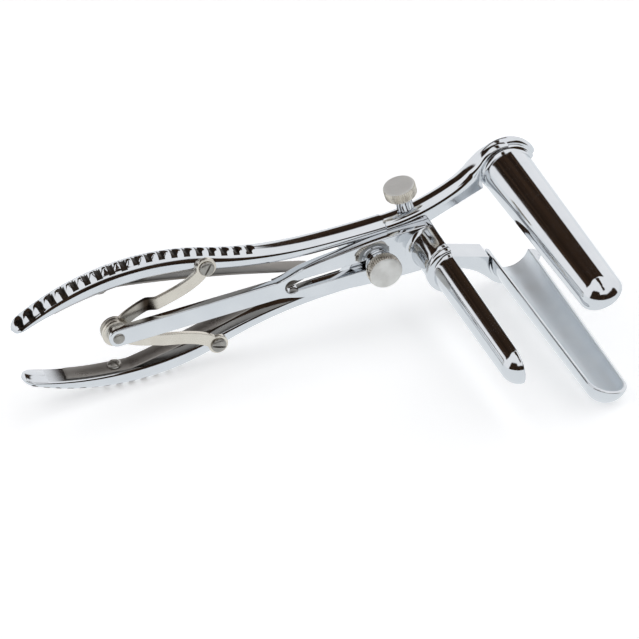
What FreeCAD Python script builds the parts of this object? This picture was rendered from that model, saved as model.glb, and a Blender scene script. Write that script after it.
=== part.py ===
import FreeCAD, Part
import math
import os
import re
import Sketcher
from FreeCAD import Placement, Rotation, Vector

# Three-blade speculum, shown with its blades spread and its handles squeezed.
# X runs from the handles to the blades, Z is the way the levers spread, and the blades point to -Y.
# The hinge axis is the Y axis, and the flat backs of the two levers lie in the plane y = 0.

doc = FreeCAD.newDocument("speculum")
sheet = doc.addObject("Spreadsheet::Sheet", "sizes")

SIZES = {
    # levers: thickness, then the outer edge as reach from the hinge and rise from the axis
    "lever_thick": 9.5,
    "running_gap": 0.1,
    "tail_reach": 139.5,
    "tail_rise": 12.4,
    "tail_depth": 2.4,
    "heel_reach": 121.0,
    "heel_rise": 21.8,
    "heel_depth": 5.6,
    "bow_reach": 97.0,
    "bow_rise": 26.7,
    "bow_depth": 7.3,
    "neck_reach": 62.0,
    "neck_rise": 21.5,
    "neck_depth": 6.5,
    "waist_reach": 22.0,
    "waist_rise": 13.2,
    "waist_depth": 4.2,
    "shoulder_reach": 6.0,
    "shoulder_rise": 12.7,
    "flank_reach": 34.0,
    "flank_rise": 19.3,
    "root_angle": 125.0,
    "closing_angle": 19.5,
    "crown_bevel": 2.4,
    "tail_corner": 3.0,
    "tooth_pitch": 4.85,
    "tooth_width": 3.9,
    "tooth_depth": 1.6,
    "tooth_count": 20,
    # hinge
    "stud_dia": 4.0,
    "stud_head_dia": 7.6,
    "ear_radius": 8.5,
    # blades
    "blade_reach": 58.9,
    "blade_length": 91.5,
    "blade_base_radius": 9.9,
    "blade_tip_radius": 7.6,
    "blade_wall": 1.6,
    "hood_radius": 13.2,
    "hood_thick": 6.0,
    "hood_bevel": 1.2,
    "hood_step_radius": 11.3,
    "hood_step": 1.6,
    # central arm and its blade
    "arm_thick": 5.2,
    "arm_relief": 1.1,
    "bar_width": 7.2,
    "bar_thick": 3.0,
    "notch_reach": 41.0,
    "flare_length": 24.0,
    "flare_width": 15.0,
    "plate_width": 19.4,
    "plate_front": 20.0,
    "slot_width": 4.2,
    "slot_length": 37.0,
    "slot_end_dia": 5.8,
    "sight_hole_dia": 3.2,
    "sight_hole_reach": 9.4,
    "central_reach": 22.7,
    "central_base_radius": 7.75,
    "central_tip_radius": 6.9,
    "central_offset": 19.5,
    "collar_radius": 10.0,
    "collar_thick": 3.0,
    "collar_bevel": 0.8,
    # links
    "link_pivot_reach": 64.8,
    "link_pivot_rise": 17.8,
    "link_rear_reach": 101.8,
    "link_width": 4.9,
    "link_thick": 1.7,
    "link_eye_radius": 3.8,
    "link_rear_radius": 5.3,
    "link_play": 2.0,
    "link_kink": 1.6,
    "link_bow": 1.3,
    "link_bend_reach": 11.8,
    "link_bend_length": 4.5,
    "link_screw_dia": 3.0,
    "link_head_dia": 5.8,
    "link_head_height": 1.5,
    "link_slot_angle": 55.0,
    "rivet_dia": 2.4,
    "rivet_head_dia": 4.4,
    "rivet_head_height": 0.8,
    "rivet_washer_dia": 10.4,
    "rivet_washer_thick": 0.8,
    # leaf springs
    "spring_width": 6.8,
    "spring_thick": 0.9,
    "spring_tip_reach": 25.0,
    "spring_screw_reach": 104.0,
    "spring_tail_reach": 124.0,
    "spring_seat_length": 27.0,
    "spring_tip_rise": 0.4,
    "spring_screw_dia": 2.5,
    "spring_head_dia": 5.4,
    "spring_head_height": 1.3,
    "driver_slot_width": 0.8,
    "driver_slot_depth": 0.6,
    # thumb screws
    "nut_dia": 13.2,
    "nut_grip": 4.4,
    "nut_foot_dia": 9.6,
    "nut_foot": 3.0,
    "nut_bevel": 0.5,
    "washer_dia": 10.6,
    "washer_thick": 0.6,
    "side_reach": 15.6,
    "side_dia": 12.4,
    "side_grip": 4.6,
    "side_neck_dia": 6.4,
    "side_neck": 6.2,
    "side_lift": 0.6,
    "side_shank_dia": 3.6,
    "knurl_count": 36,
    "knurl_depth": 0.35,
}
DERIVED = {
    "front": "-lever_thick",
    "lap": "lever_thick / 2",
    "web_layer": "lap - running_gap / 2",
    "arm_back": "front - running_gap",
    "arm_front": "arm_back - arm_thick + arm_relief",
    "arm_depth": "arm_back - arm_front",
    "link_face": "front - running_gap",
    "lower_step": "arm_front + bar_thick + running_gap + link_thick - link_face",
    "upper_step": "lower_step + link_thick + running_gap",
    "link_head_seat": "link_face - link_thick - running_gap",
    "washer_seat": "arm_front - running_gap",
    "nut_seat": "washer_seat - washer_thick - running_gap",
    "rivet_back": "link_face + upper_step + running_gap + rivet_washer_thick",
    "cut_through": "4 * lever_thick",
}
for row, (alias, value) in enumerate({**SIZES, **DERIVED}.items(), start=1):
    sheet.set("A%d" % row, alias)
    sheet.set("B%d" % row, str(value) if alias in SIZES else "=" + value)
    sheet.setAlias("B%d" % row, alias)
doc.recompute()

FORWARD = Vector(0, -1, 0)
BACKWARD = Vector(0, 1, 0)
UP = Vector(0, 0, 1)


def size(alias):
    return float(sheet.get(alias))


def formula(text):
    """Turns the sheet's names in a piece of arithmetic into references to its cells."""
    return re.sub(r"[a-z_]+", lambda name: "sizes." + name.group(), str(text))


def bind(item, **formulas):
    for name, text in formulas.items():
        item.setExpression(name, formula(text))
    return item


def place(item, x=0, y=0, z=0, axis=FORWARD):
    """Stands an item on a point given by formulas, with its own Z along axis."""
    item.Placement = Placement(Vector(), Rotation(UP, axis))
    for name, text in zip("xyz", (x, y, z)):
        item.setExpression("Placement.Base." + name, formula(text))
    return item


def rod(label, radius, height, x=0, y=0, z=0, axis=FORWARD):
    return place(bind(doc.addObject("Part::Cylinder", label), Radius=radius, Height=height), x, y, z, axis)


def cone(label, radius, end_radius, height, y):
    item = bind(doc.addObject("Part::Cone", label), Radius1=radius, Radius2=end_radius, Height=height)
    return place(item, 0, y)


def box(label, length, width, height, x, y, z):
    """A box that grows to +X, +Y and +Z from the point given."""
    item = bind(doc.addObject("Part::Box", label), Length=length, Width=width, Height=height)
    return place(item, x, y, z, UP)


def joined(label, items):
    item = doc.addObject("Part::MultiFuse", label)
    item.Shapes = items
    return item


def cut(label, base, tools):
    item = doc.addObject("Part::Cut", label)
    item.Base = base
    item.Tool = tools[0] if len(tools) == 1 else joined(label + "_tools", tools)
    return item


def mirrored(label, source, normal=UP, y=0):
    item = doc.addObject("Part::Mirroring", label)
    item.Source = source
    item.Normal = normal
    item.setExpression("Base.y", formula(y))
    return item


def free_form(label, shape):
    item = doc.addObject("Part::Feature", label)
    item.Shape = shape
    return item


def along_y(face, depth):
    return face.extrude(FORWARD * depth)


def spline(points):
    curve = Part.BSplineCurve()
    curve.interpolate(points)
    return curve.toShape()


def outline_face(edges):
    return Part.Face(Part.Wire(Part.__sortEdges__(edges)))


# turned pieces: a body turned from a profile sketch, with knurling and a driver slot where it has them
def sketch_of(body, label, plane, points):
    """A closed outline of (x, y) formulas, each held in the sketch by two bound distances."""
    sketch = body.newObject("Sketcher::SketchObject", label)
    sketch.AttachmentSupport = (body.Origin.OriginFeatures[plane], [""])
    sketch.MapMode = "FlatFace"
    texts = [[formula(text) for text in point] for point in points]
    values = [Vector(*(float(sketch.evalExpression(text)) for text in point), 0) for point in texts]
    count = len(points)
    for index in range(count):
        sketch.addGeometry(Part.LineSegment(values[index], values[(index + 1) % count]), False)
    for index in range(count):
        sketch.addConstraint(Sketcher.Constraint("Coincident", index, 2, (index + 1) % count, 1))
        for letter, kind, axis in (("x", "DistanceX", -2), ("y", "DistanceY", -1)):
            value = values[index].x if letter == "x" else values[index].y
            if value == 0:
                sketch.addConstraint(Sketcher.Constraint("PointOnObject", index, 1, axis))
                continue
            number = sketch.addConstraint(Sketcher.Constraint(kind, -1, 1, index, 1, value))
            name = "%s%d" % (letter, index)
            sketch.renameConstraint(number, name)
            sketch.setExpression("Constraints." + name, texts[index]["xy".index(letter)])
    return sketch


XY_PLANE = 3
XZ_PLANE = 4


def turned(label, profile):
    body = doc.addObject("PartDesign::Body", label)
    turn = body.newObject("PartDesign::Revolution", label + "_turning")
    sketch = sketch_of(body, label + "_profile", XZ_PLANE, profile)
    turn.Profile = sketch
    turn.ReferenceAxis = (sketch, ["V_Axis"])
    turn.Angle = 360
    body.Tip = turn
    return body


def knurl(body, radius, foot, top):
    """Straight V grooves round a grip that lies between the heights foot and top."""
    half = "3.1416 * %s / knurl_count * 0.55" % radius
    corners = [
        ("%s - knurl_depth" % radius, "0"),
        ("%s + knurl_depth" % radius, half),
        ("%s + knurl_depth" % radius, "-(%s)" % half),
    ]
    groove = body.newObject("PartDesign::Pocket", body.Name + "_groove")
    outline = sketch_of(body, body.Name + "_groove_outline", XY_PLANE, corners)
    groove.Profile = outline
    outline.setExpression("AttachmentOffset.Base.z", formula(top))
    groove.setExpression("Length", formula("%s - (%s)" % (top, foot)))
    body.Tip = groove
    pattern = body.newObject("PartDesign::PolarPattern", body.Name + "_knurl")
    pattern.Originals = [groove]
    pattern.Axis = (body.Origin.OriginFeatures[2], [""])
    pattern.Angle = 360
    pattern.setExpression("Occurrences", formula("knurl_count"))
    body.Tip = pattern
    return body


def driver_slot(body, radius, top, turn=0):
    slot = body.newObject("PartDesign::SubtractiveBox", body.Name + "_slot")
    bind(slot, Length="2.4 * " + radius, Width="driver_slot_width", Height="2 * driver_slot_depth")
    angle = math.radians(turn)
    slot.Placement.Rotation = Rotation(UP, turn)
    half_long = "1.2 * %s" % radius
    half_wide = "driver_slot_width / 2"
    slot.setExpression("Placement.Base.x", formula("%f * %s + %f * %s" % (-math.cos(angle), half_long, math.sin(angle), half_wide)))
    slot.setExpression("Placement.Base.y", formula("%f * %s - %f * %s" % (-math.sin(angle), half_long, math.cos(angle), half_wide)))
    slot.setExpression("Placement.Base.z", formula("%s - driver_slot_depth" % top))
    body.Tip = slot
    return body


def stand(body, point, axis):
    """Stands a finished body on a computed point."""
    body.Placement = Placement(point, Rotation(UP, axis))
    return body


# the lever's rail: its outer edge is a chain of tangent arcs through the named stations
def closed_to_open(x, z):
    """A point given with the blades shut, moved to where it lies with the blades spread."""
    turn = math.radians(size("closing_angle"))
    return Vector(x * math.cos(turn) - z * math.sin(turn), 0, x * math.sin(turn) + z * math.cos(turn))


def hood_point(angle):
    """A point on the hood's outer circle, by its angle about the blade's axis with the blades shut."""
    turn = math.radians(angle)
    radius = size("hood_radius")
    return closed_to_open(size("blade_reach") + radius * math.cos(turn), radius * math.sin(turn))


def outward(heading):
    return Vector(-heading.z, 0, heading.x)


def tangent_arc(start, heading, end):
    """The arc that leaves start along heading and ends at end, with its heading there."""
    chord = end - start
    turn = math.atan2(outward(heading).dot(chord), heading.dot(chord))
    sag = chord.Length / 2 * math.tan(turn / 2)
    straight = Vector(chord).normalize()
    arc = Part.Arc(start, (start + end) * 0.5 - outward(straight) * sag, end)
    return arc.toShape(), straight * 2 * straight.dot(heading) - heading


def arc_chain(points):
    first = Part.Arc(points[0], points[1], points[2])
    heading = first.tangent(first.parameter(points[2]))[0]
    if heading.dot(points[2] - points[1]) < 0:
        heading = heading * -1
    edges = [first.toShape()]
    for start, end in zip(points[2:-1], points[3:]):
        edge, heading = tangent_arc(start, heading, end)
        edges.append(edge)
    return edges


STATIONS = ("tail", "heel", "bow", "neck", "waist")


def rail_edges():
    """The rail's outer and inner edges."""
    points = [Vector(-size(name + "_reach"), 0, size(name + "_rise")) for name in STATIONS]
    shoulder = Vector(size("shoulder_reach"), 0, size("shoulder_rise"))
    flank = Vector(size("flank_reach"), 0, size("flank_rise"))
    outer = arc_chain(points + [shoulder, flank, hood_point(size("root_angle"))])
    inner_points = []
    for name, point in zip(STATIONS, points):
        foot, out = foot_on(outer, point)
        inner_points.append(foot - out * size(name + "_depth"))
    inner_points.append(Vector(size("shoulder_reach"), 0, size("ear_radius") + 3 * size("running_gap")))
    return outer, arc_chain(inner_points)


def foot_on(edges, point):
    """The nearest point of some edges, and the direction away from the axis there."""
    vertex = Part.Vertex(point)
    edge = min(edges, key=lambda item: item.distToShape(vertex)[0])
    foot = edge.distToShape(vertex)[1][0][0]
    heading = edge.tangentAt(edge.Curve.parameter(foot))
    if heading.x < 0:
        heading = heading * -1
    return foot, outward(heading)


OUTER, INNER = rail_edges()


def tooth_cutters():
    half = size("tooth_width") / 2
    places = Part.Wire(OUTER).discretize(Distance=size("tooth_pitch"))
    cutters = []
    for place_on in places[1:int(size("tooth_count")) + 1]:
        foot, out = foot_on(OUTER, place_on)
        along = Vector(out.z, 0, -out.x)
        lift = out * size("tooth_depth") / 3
        corners = [foot - along * half + lift, foot - out * size("tooth_depth"), foot + along * half + lift]
        face = Part.Face(Part.makePolygon(corners + corners[:1]))
        cutters.append(along_y(face, size("cut_through")).translated(BACKWARD * size("lever_thick")))
    return cutters


def rail_shape():
    """The forging's bar, from the handle's tail to the hood, with its bevels and teeth."""
    tail_out = OUTER[0].Vertexes[0].Point
    tail_in = INNER[0].Vertexes[0].Point
    root = hood_point(size("root_angle"))
    rim = hood_point(180 - math.degrees(size("running_gap") / size("hood_radius")))
    hood_middle = hood_point((size("root_angle") + 180) / 2)
    reach = size("shoulder_reach")
    clear_of_ear = Vector(reach, 0, size("ear_radius") + 3 * size("running_gap"))
    ear_front = Vector(reach, 0, reach * math.tan(math.radians(size("closing_angle"))) + size("running_gap"))
    ends = [
        Part.makeLine(tail_out, tail_in),
        Part.Arc(root, hood_middle, rim).toShape(),
        Part.makeLine(rim, ear_front),
        Part.makeLine(ear_front, clear_of_ear),
    ]
    bar = along_y(outline_face(OUTER + INNER + ends), size("lever_thick")).fuse(web_shape())
    crown = [edge for edge in bar.Edges if lies_on(edge, OUTER)]
    return bar.makeChamfer(size("crown_bevel"), crown).cut(tooth_cutters())


def lies_on(edge, chain):
    """Whether an edge of the bar runs along one of the rail's arcs, on either side of the bar."""
    if edge.Curve.TypeId != "Part::GeomCircle" or abs(edge.Curve.Axis.y) < 0.9:
        return False
    middle = edge.valueAt((edge.FirstParameter + edge.LastParameter) / 2)
    flat = Part.Vertex(Vector(middle.x, 0, middle.z))
    return min(item.distToShape(flat)[0] for item in chain) < size("running_gap") / 10


def web_shape():
    """The half-lapped web between the rail and the ear."""
    ear = size("ear_radius")
    reach = size("shoulder_reach")
    half_depth = size("waist_depth") / 2
    past = 2 * reach
    slope = math.tan(math.radians(size("closing_angle")))
    corners = [
        Vector(-size("waist_reach") * 0.8, 0, size("waist_rise") - half_depth),
        Vector(reach, 0, size("shoulder_rise") - half_depth),
        Vector(past, 0, past * slope + 10 * size("running_gap")),
        closed_to_open(ear, 3 * size("running_gap")),
        Vector(-ear, 0, 0),
    ]
    return along_y(Part.Face(Part.makePolygon(corners + corners[:1])), size("web_layer"))


def tail_rounding():
    """Waste round the handle's end, which is round when seen from inside."""
    corner = size("tail_corner")
    reach = size("tail_reach")
    thick = size("lever_thick")
    room = Part.makeBox(2 * corner, thick + 2, 4 * thick, Vector(-reach - corner, -thick - 1, 0))
    keep = Part.makeBox(4 * corner, thick - 2 * corner, 4 * thick, Vector(-reach - corner, -thick + corner, 0))
    round_back = Part.makeCylinder(corner, 4 * thick, Vector(-reach + corner, -corner, 0))
    round_front = Part.makeCylinder(corner, 4 * thick, Vector(-reach + corner, -thick + corner, 0))
    return room.cut([keep, round_back, round_front])


rail = free_form("lever_rail", rail_shape().cut(tail_rounding()))
ear = rod("lever_ear", "ear_radius", "web_layer")
blank = joined("lever_blank", [rail, ear])
ear_room = rod("ear_room", "ear_radius + 2 * running_gap", "cut_through", 0, "-web_layer")
hinge_bore = rod("hinge_bore", "stud_dia / 2 + running_gap / 2", "cut_through", 0, "lever_thick")
pivot_bore = rod("pivot_bore", "link_screw_dia / 2", "cut_through", "-link_pivot_reach", "lever_thick", "link_pivot_rise")
seat, inward = foot_on(INNER, Vector(-size("spring_screw_reach"), 0, size("bow_rise") - size("bow_depth")))
inward = inward * -1
seat.y = -size("lap")
spring_bore = bind(doc.addObject("Part::Cylinder", "spring_bore"), Radius="spring_screw_dia / 2", Height="bow_depth * 0.8")
spring_bore.Placement = Placement(seat, Rotation(UP, inward * -1))
forging = cut("lever_forging", blank, [ear_room, hinge_bore, pivot_bore, spring_bore])
sink = cone("stud_sink", "stud_head_dia / 2", "stud_dia / 2", "(stud_head_dia - stud_dia) / 2", 0)
screw_foot, screw_out = foot_on(OUTER, Vector(size("side_reach"), 0, size("shoulder_rise")))
screw_foot.y = -size("lap")
side_bore = bind(doc.addObject("Part::Cylinder", "side_bore"), Radius="side_shank_dia / 2 + running_gap / 2", Height="cut_through")
side_bore.Placement = Placement(screw_foot + screw_out * size("lever_thick"), Rotation(UP, screw_out * -1))
upper_lever = cut("upper_lever", forging, [sink, side_bore])
flipped = mirrored("forging_flipped", forging)
lower_lever = mirrored("lower_lever", flipped, BACKWARD, "-lap")


# blades: a tapered shell with a round nose, halved, with rings at its root
def half_blade(label, base, tip, start, length, rings):
    straight = "(%s) - %s" % (length, tip)
    solid = [
        cone(label + "_skin", base, tip, straight, start),
        place(bind(doc.addObject("Part::Sphere", label + "_nose"), Radius=tip), 0, "%s - (%s)" % (start, straight)),
    ] + rings
    back = "(%s) + hood_thick" % start
    inner_start = rod(label + "_mouth", "%s - blade_wall" % base, "hood_thick", 0, back)
    hollow = joined(label + "_hollow", [
        cone(label + "_inside", "%s - blade_wall" % base, "%s - blade_wall" % tip, straight, start),
        place(bind(doc.addObject("Part::Sphere", label + "_inner_nose"), Radius="%s - blade_wall" % tip),
              0, "%s - (%s)" % (start, straight)),
        inner_start,
    ])
    whole = cut(label + "_whole", joined(label + "_solid", solid), [hollow])
    half = doc.addObject("Part::Common", label)
    half.Base = whole
    half.Tool = box(label + "_half", "4 * hood_radius", "2 * blade_length", "2 * hood_radius",
                    "-2 * hood_radius", "-1.5 * blade_length", 0)
    return half


hood = [
    rod("hood_ring", "hood_radius", "hood_thick - hood_bevel - hood_step", 0, "front + hood_thick"),
    cone("hood_edge", "hood_radius", "hood_radius - hood_bevel", "hood_bevel", "front + hood_step + hood_bevel"),
    cone("hood_step_ring", "hood_step_radius", "hood_step_radius - hood_bevel / 2", "hood_step", "front + hood_step"),
]
collar = [
    rod("collar_ring", "collar_radius", "collar_thick - collar_bevel", 0, "front - central_offset"),
    cone("collar_edge", "collar_radius", "collar_radius - collar_bevel", "collar_bevel",
         "front - central_offset - collar_thick + collar_bevel"),
]
upper_blade = half_blade("upper_blade", "blade_base_radius", "blade_tip_radius", "front", "blade_length", hood)
lower_blade = mirrored("lower_blade", upper_blade)
central_blade = half_blade("central_blade", "central_base_radius", "central_tip_radius", "front - central_offset",
                           "blade_length - central_offset", collar)
upper_blade.Placement = Placement(closed_to_open(size("blade_reach"), 0), Rotation(BACKWARD, -size("closing_angle")))
central_blade.Placement = Placement(Vector(), Rotation(BACKWARD, -90))
central_blade.setExpression("Placement.Base.x", formula("central_reach"))


# central arm: a slotted plate with a narrow bar behind and a half-round neck in front
def plate_shape():
    bar = size("bar_width") / 2
    half = size("plate_width") / 2
    flare = size("flare_width") / 2
    rear = -size("link_rear_reach")
    notch = -size("notch_reach")
    side = [
        Vector(notch, 0, bar),
        Vector(notch + size("flare_length") / 2, 0, (bar + flare) / 2 + bar / 4),
        Vector(notch + size("flare_length"), 0, flare),
        Vector(0, 0, half - size("running_gap") * 4),
        Vector(size("plate_front"), 0, half),
    ]
    other_side = [Vector(point.x, 0, -point.z) for point in side]
    edges = [
        spline(side),
        spline(other_side),
        Part.makeLine(side[-1], other_side[-1]),
        Part.makeLine(side[0], Vector(rear, 0, bar)),
        Part.makeLine(other_side[0], Vector(rear, 0, -bar)),
        Part.Arc(Vector(rear, 0, -bar), Vector(rear - bar, 0, 0), Vector(rear, 0, bar)).toShape(),
    ]
    plate = along_y(outline_face(edges), size("arm_depth"))
    plate.translate(BACKWARD * size("arm_back"))
    return plate


neck_height = "arm_back - front + central_offset"
neck_tube = rod("neck_tube", "plate_width / 2", neck_height, "central_reach", "arm_back")
neck = doc.addObject("Part::Common", "neck_half")
neck.Base = neck_tube
neck.Tool = box("neck_side", "plate_width", "2 * (%s)" % neck_height, "plate_width",
                "central_reach - plate_width", "arm_back - 2 * (%s)" % neck_height, "-plate_width / 2")
plate = free_form("arm_plate", plate_shape())
central_arm = cut("central_arm", joined("arm_blank", [plate, neck]), [
    box("bar_relief", "link_rear_reach", "cut_through", "2 * bar_width",
        "-link_rear_reach - notch_reach", "arm_front + bar_thick", "-bar_width"),
    box("slot_run", "slot_length - slot_end_dia / 2", "cut_through", "slot_width",
        "slot_end_dia / 2 - slot_length", "arm_front - lever_thick", "-slot_width / 2"),
    rod("slot_front", "slot_width / 2", "cut_through", 0, "lever_thick"),
    rod("slot_rear", "slot_end_dia / 2", "cut_through", "slot_end_dia / 2 - slot_length", "lever_thick"),
    rod("sight_hole", "sight_hole_dia / 2", "cut_through", "sight_hole_reach", "lever_thick"),
    rod("rivet_bore", "rivet_dia / 2 + running_gap / 2", "cut_through", "-link_rear_reach", "lever_thick"),
    rod("neck_inside", "central_base_radius - blade_wall", "2 * cut_through", "central_reach", "lever_thick"),
])


# links: a flat dog-leg strap, set back by a step where it passes behind the central bar
def link_shape(step):
    pivot = Vector(-size("link_pivot_reach"), 0, size("link_pivot_rise"))
    rear = Vector(-size("link_rear_reach"), 0, 0)
    chord = rear - pivot
    side = outward(Vector(chord).normalize())
    bows = ((0, 0), (0.25, size("link_kink")), (0.67, -size("link_bow")), (1, 0))
    centre = Part.BSplineCurve()
    centre.interpolate([pivot + chord * share + side * offset for share, offset in bows])
    half = size("link_width") / 2
    first, last = centre.FirstParameter, centre.LastParameter
    count = 6
    left = []
    right = []
    for index in range(count + 1):
        parameter = first + (last - first) * index / count
        point = centre.value(parameter)
        across = outward(centre.tangent(parameter)[0]) * half
        left.append(point + across)
        right.append(point - across)
    ends = [Part.makeLine(left[0], right[0]), Part.makeLine(left[-1], right[-1])]
    tall = size("cut_through")
    behind = size("lever_thick")
    column = along_y(outline_face([spline(left), spline(right)] + ends), tall).translated(BACKWARD * behind)
    column = column.fuse([
        Part.makeCylinder(size("link_eye_radius"), tall, pivot + BACKWARD * behind, FORWARD),
        Part.makeCylinder(size("link_rear_radius"), tall, rear + BACKWARD * behind, FORWARD),
    ])
    face = size("link_face")
    thick = size("link_thick")
    bend_start = rear.x + size("link_rear_radius") + size("link_bend_reach")
    bend_end = bend_start - size("link_bend_length")
    far = rear.x - 2 * size("link_rear_radius")
    near = pivot.x + 2 * size("link_eye_radius")
    low = -2 * behind
    back_line = [(near, face), (bend_start, face), (bend_end, face + step), (far, face + step)]
    corners = [Vector(x, y, low) for x, y in back_line]
    corners += [Vector(x, y - thick, low) for x, y in reversed(back_line)]
    strip = Part.Face(Part.makePolygon(corners + corners[:1])).extrude(UP * 2 * tall)
    eye = Part.makeCylinder((size("link_screw_dia") + size("running_gap")) / 2, tall, pivot + BACKWARD * behind, FORWARD)
    play = Part.makeCylinder(size("rivet_dia") / 2 + size("link_play"), tall, rear + BACKWARD * behind, FORWARD)
    return column.common(strip).cut([eye, play])


upper_link = free_form("upper_link", link_shape(size("upper_step")))
lower_link = mirrored("lower_link", free_form("link_blank", link_shape(size("lower_step"))))
rivet_washer = cut("rivet_washer", rod("rivet_disc", "rivet_washer_dia / 2", "rivet_washer_thick", "-link_rear_reach", "rivet_back"), [
    rod("rivet_eye", "rivet_dia / 2", "cut_through", "-link_rear_reach", "lever_thick"),
])
grip = "rivet_back - arm_front"
link_rivet = turned("link_rivet", [
    ("0", "rivet_head_height"),
    ("0", "-(%s) - rivet_head_height" % grip),
    ("rivet_head_dia / 2", "-(%s) - rivet_head_height" % grip),
    ("rivet_head_dia / 2", "-(%s)" % grip),
    ("rivet_dia / 2", "-(%s)" % grip),
    ("rivet_dia / 2", "0"),
    ("rivet_head_dia / 2", "0"),
    ("rivet_head_dia / 2", "rivet_head_height / 2"),
    ("rivet_head_dia / 2 - rivet_head_height / 2", "rivet_head_height"),
])
place(link_rivet, "-link_rear_reach", "arm_front")


# leaf springs, each following the inside of its handle and then crossing to the axis
def spring_shape():
    thick = size("spring_thick")
    seats = 5
    near = []
    far = []
    for index in range(seats):
        reach = size("spring_tail_reach") - size("spring_seat_length") * index / (seats - 1)
        foot, out = foot_on(INNER, Vector(-reach, 0, size("bow_rise") - size("bow_depth")))
        near.append(foot - out * size("running_gap"))
        far.append(foot - out * (size("running_gap") + thick))
    tip_rise = size("spring_tip_rise")
    lift_off = size("spring_tail_reach") - size("spring_seat_length")
    half_way = -(lift_off + size("spring_tip_reach")) / 2
    rise = (near[-1].z + tip_rise) * 0.55
    near += [Vector(half_way, 0, rise + thick), Vector(-size("spring_tip_reach"), 0, tip_rise + thick)]
    far += [Vector(half_way, 0, rise), Vector(-size("spring_tip_reach"), 0, tip_rise)]
    ends = [Part.makeLine(near[0], far[0]), Part.makeLine(near[-1], far[-1])]
    leaf = along_y(outline_face([spline(near), spline(far)] + ends), size("spring_width"))
    leaf.translate(FORWARD * (size("lever_thick") - size("spring_width")) / 2)
    return leaf


leaf_hole = bind(doc.addObject("Part::Cylinder", "leaf_hole"), Radius="spring_screw_dia / 2", Height="cut_through")
leaf_hole.Placement = Placement(seat, Rotation(UP, inward))
upper_spring = cut("upper_spring", free_form("spring_leaf", spring_shape()), [leaf_hole])
lower_spring = mirrored("lower_spring", upper_spring)


# slotted screws
def screw(label, head, height, shank, length):
    """A slotted screw with a bevelled head, measured from the underside of its head."""
    profile = [
        ("0", "-(%s)" % length),
        (shank, "-(%s)" % length),
        (shank, "0"),
        (head, "0"),
        (head, "%s * 0.6" % height),
        ("%s - %s * 0.4" % (head, height), height),
        ("0", height),
    ]
    return turned(label, profile)


def spring_screw(label):
    lift = "running_gap * 1.5 + spring_thick"
    item = screw(label, "spring_head_dia / 2", "spring_head_height", "spring_screw_dia / 2 - running_gap / 4", lift + " + bow_depth * 0.75")
    driver_slot(item, "spring_head_dia / 2", "spring_head_height")
    return stand(item, seat + inward * (size("running_gap") * 1.5 + size("spring_thick")), inward)


def link_screw(label):
    length = "lever_thick - 1 - link_head_seat + front"
    item = screw(label, "link_head_dia / 2", "link_head_height", "link_screw_dia / 2 - running_gap / 4", length)
    driver_slot(item, "link_head_dia / 2", "link_head_height", size("link_slot_angle"))
    return place(item, "-link_pivot_reach", "link_head_seat", "link_pivot_rise")


upper_spring_screw = spring_screw("upper_spring_screw")
lower_spring_screw = mirrored("lower_spring_screw", upper_spring_screw)
upper_link_screw = link_screw("upper_link_screw")
lower_link_screw = mirrored("lower_link_screw", upper_link_screw)

# hinge stud with its washer and thumb nut, and the side thumb screw
stud_length = "nut_foot + nut_grip / 2 - nut_seat"
hinge_stud = joined("hinge_stud", [
    rod("stud_shank", "stud_dia / 2", stud_length),
    cone("stud_head", "stud_head_dia / 2", "stud_dia / 2", "(stud_head_dia - stud_dia) / 2", 0),
])
clamp_washer = cut("clamp_washer", rod("washer_disc", "washer_dia / 2", "washer_thick", 0, "washer_seat"), [
    rod("washer_eye", "stud_dia / 2 + running_gap / 2", "cut_through", 0, "lever_thick"),
])
bore = "stud_dia / 2 + running_gap / 2"
bore_depth = "nut_foot + nut_grip * 0.6"
clamp_nut = turned("clamp_nut", [
    (bore, "0"),
    ("nut_foot_dia / 2", "0"),
    ("nut_foot_dia / 2 - nut_bevel", "nut_foot"),
    ("nut_dia / 2 - nut_bevel", "nut_foot"),
    ("nut_dia / 2", "nut_foot + nut_bevel"),
    ("nut_dia / 2", "nut_foot + nut_grip - nut_bevel"),
    ("nut_dia / 2 - nut_bevel", "nut_foot + nut_grip"),
    ("0", "nut_foot + nut_grip"),
    ("0", bore_depth),
    (bore, bore_depth),
])
knurl(clamp_nut, "nut_dia / 2", "nut_foot", "nut_foot + nut_grip")
place(clamp_nut, 0, "nut_seat")
grip_foot = "side_lift + side_neck"
side_screw = turned("side_screw", [
    ("0", "-waist_depth - 10 * running_gap"),
    ("side_shank_dia / 2", "-waist_depth - 10 * running_gap"),
    ("side_shank_dia / 2", "side_lift"),
    ("side_neck_dia / 2", "side_lift"),
    ("side_neck_dia / 2", grip_foot),
    ("side_dia / 2 - nut_bevel", grip_foot),
    ("side_dia / 2", grip_foot + " + nut_bevel"),
    ("side_dia / 2", grip_foot + " + side_grip - nut_bevel"),
    ("side_dia / 2 - nut_bevel", grip_foot + " + side_grip"),
    ("0", grip_foot + " + side_grip"),
])
knurl(side_screw, "side_dia / 2", grip_foot, grip_foot + " + side_grip")
stand(side_screw, screw_foot, screw_out)
doc.recompute()

pieces = [
    upper_lever, lower_lever, upper_blade, lower_blade, upper_spring, lower_spring,
    upper_spring_screw, lower_spring_screw, upper_link_screw, lower_link_screw,
    central_arm, central_blade, upper_link, lower_link, link_rivet, rivet_washer,
    hinge_stud, clamp_washer, clamp_nut, side_screw,
]
for item in doc.Objects:
    bad = [state for state in item.State if state in ("Invalid", "Error")]
    if bad:
        raise RuntimeError("%s is %s" % (item.Label, bad))
os.makedirs("parts", exist_ok=True)
for piece in pieces:
    shape = piece.Shape
    if shape.isNull() or not shape.isValid() or len(shape.Solids) != 1:
        raise RuntimeError("%s has a bad shape with %d solids" % (piece.Label, len(shape.Solids)))
    shape.exportStep("parts/%s.step" % piece.Label)
    print("%-20s volume %9.1f" % (piece.Label, shape.Volume))
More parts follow.
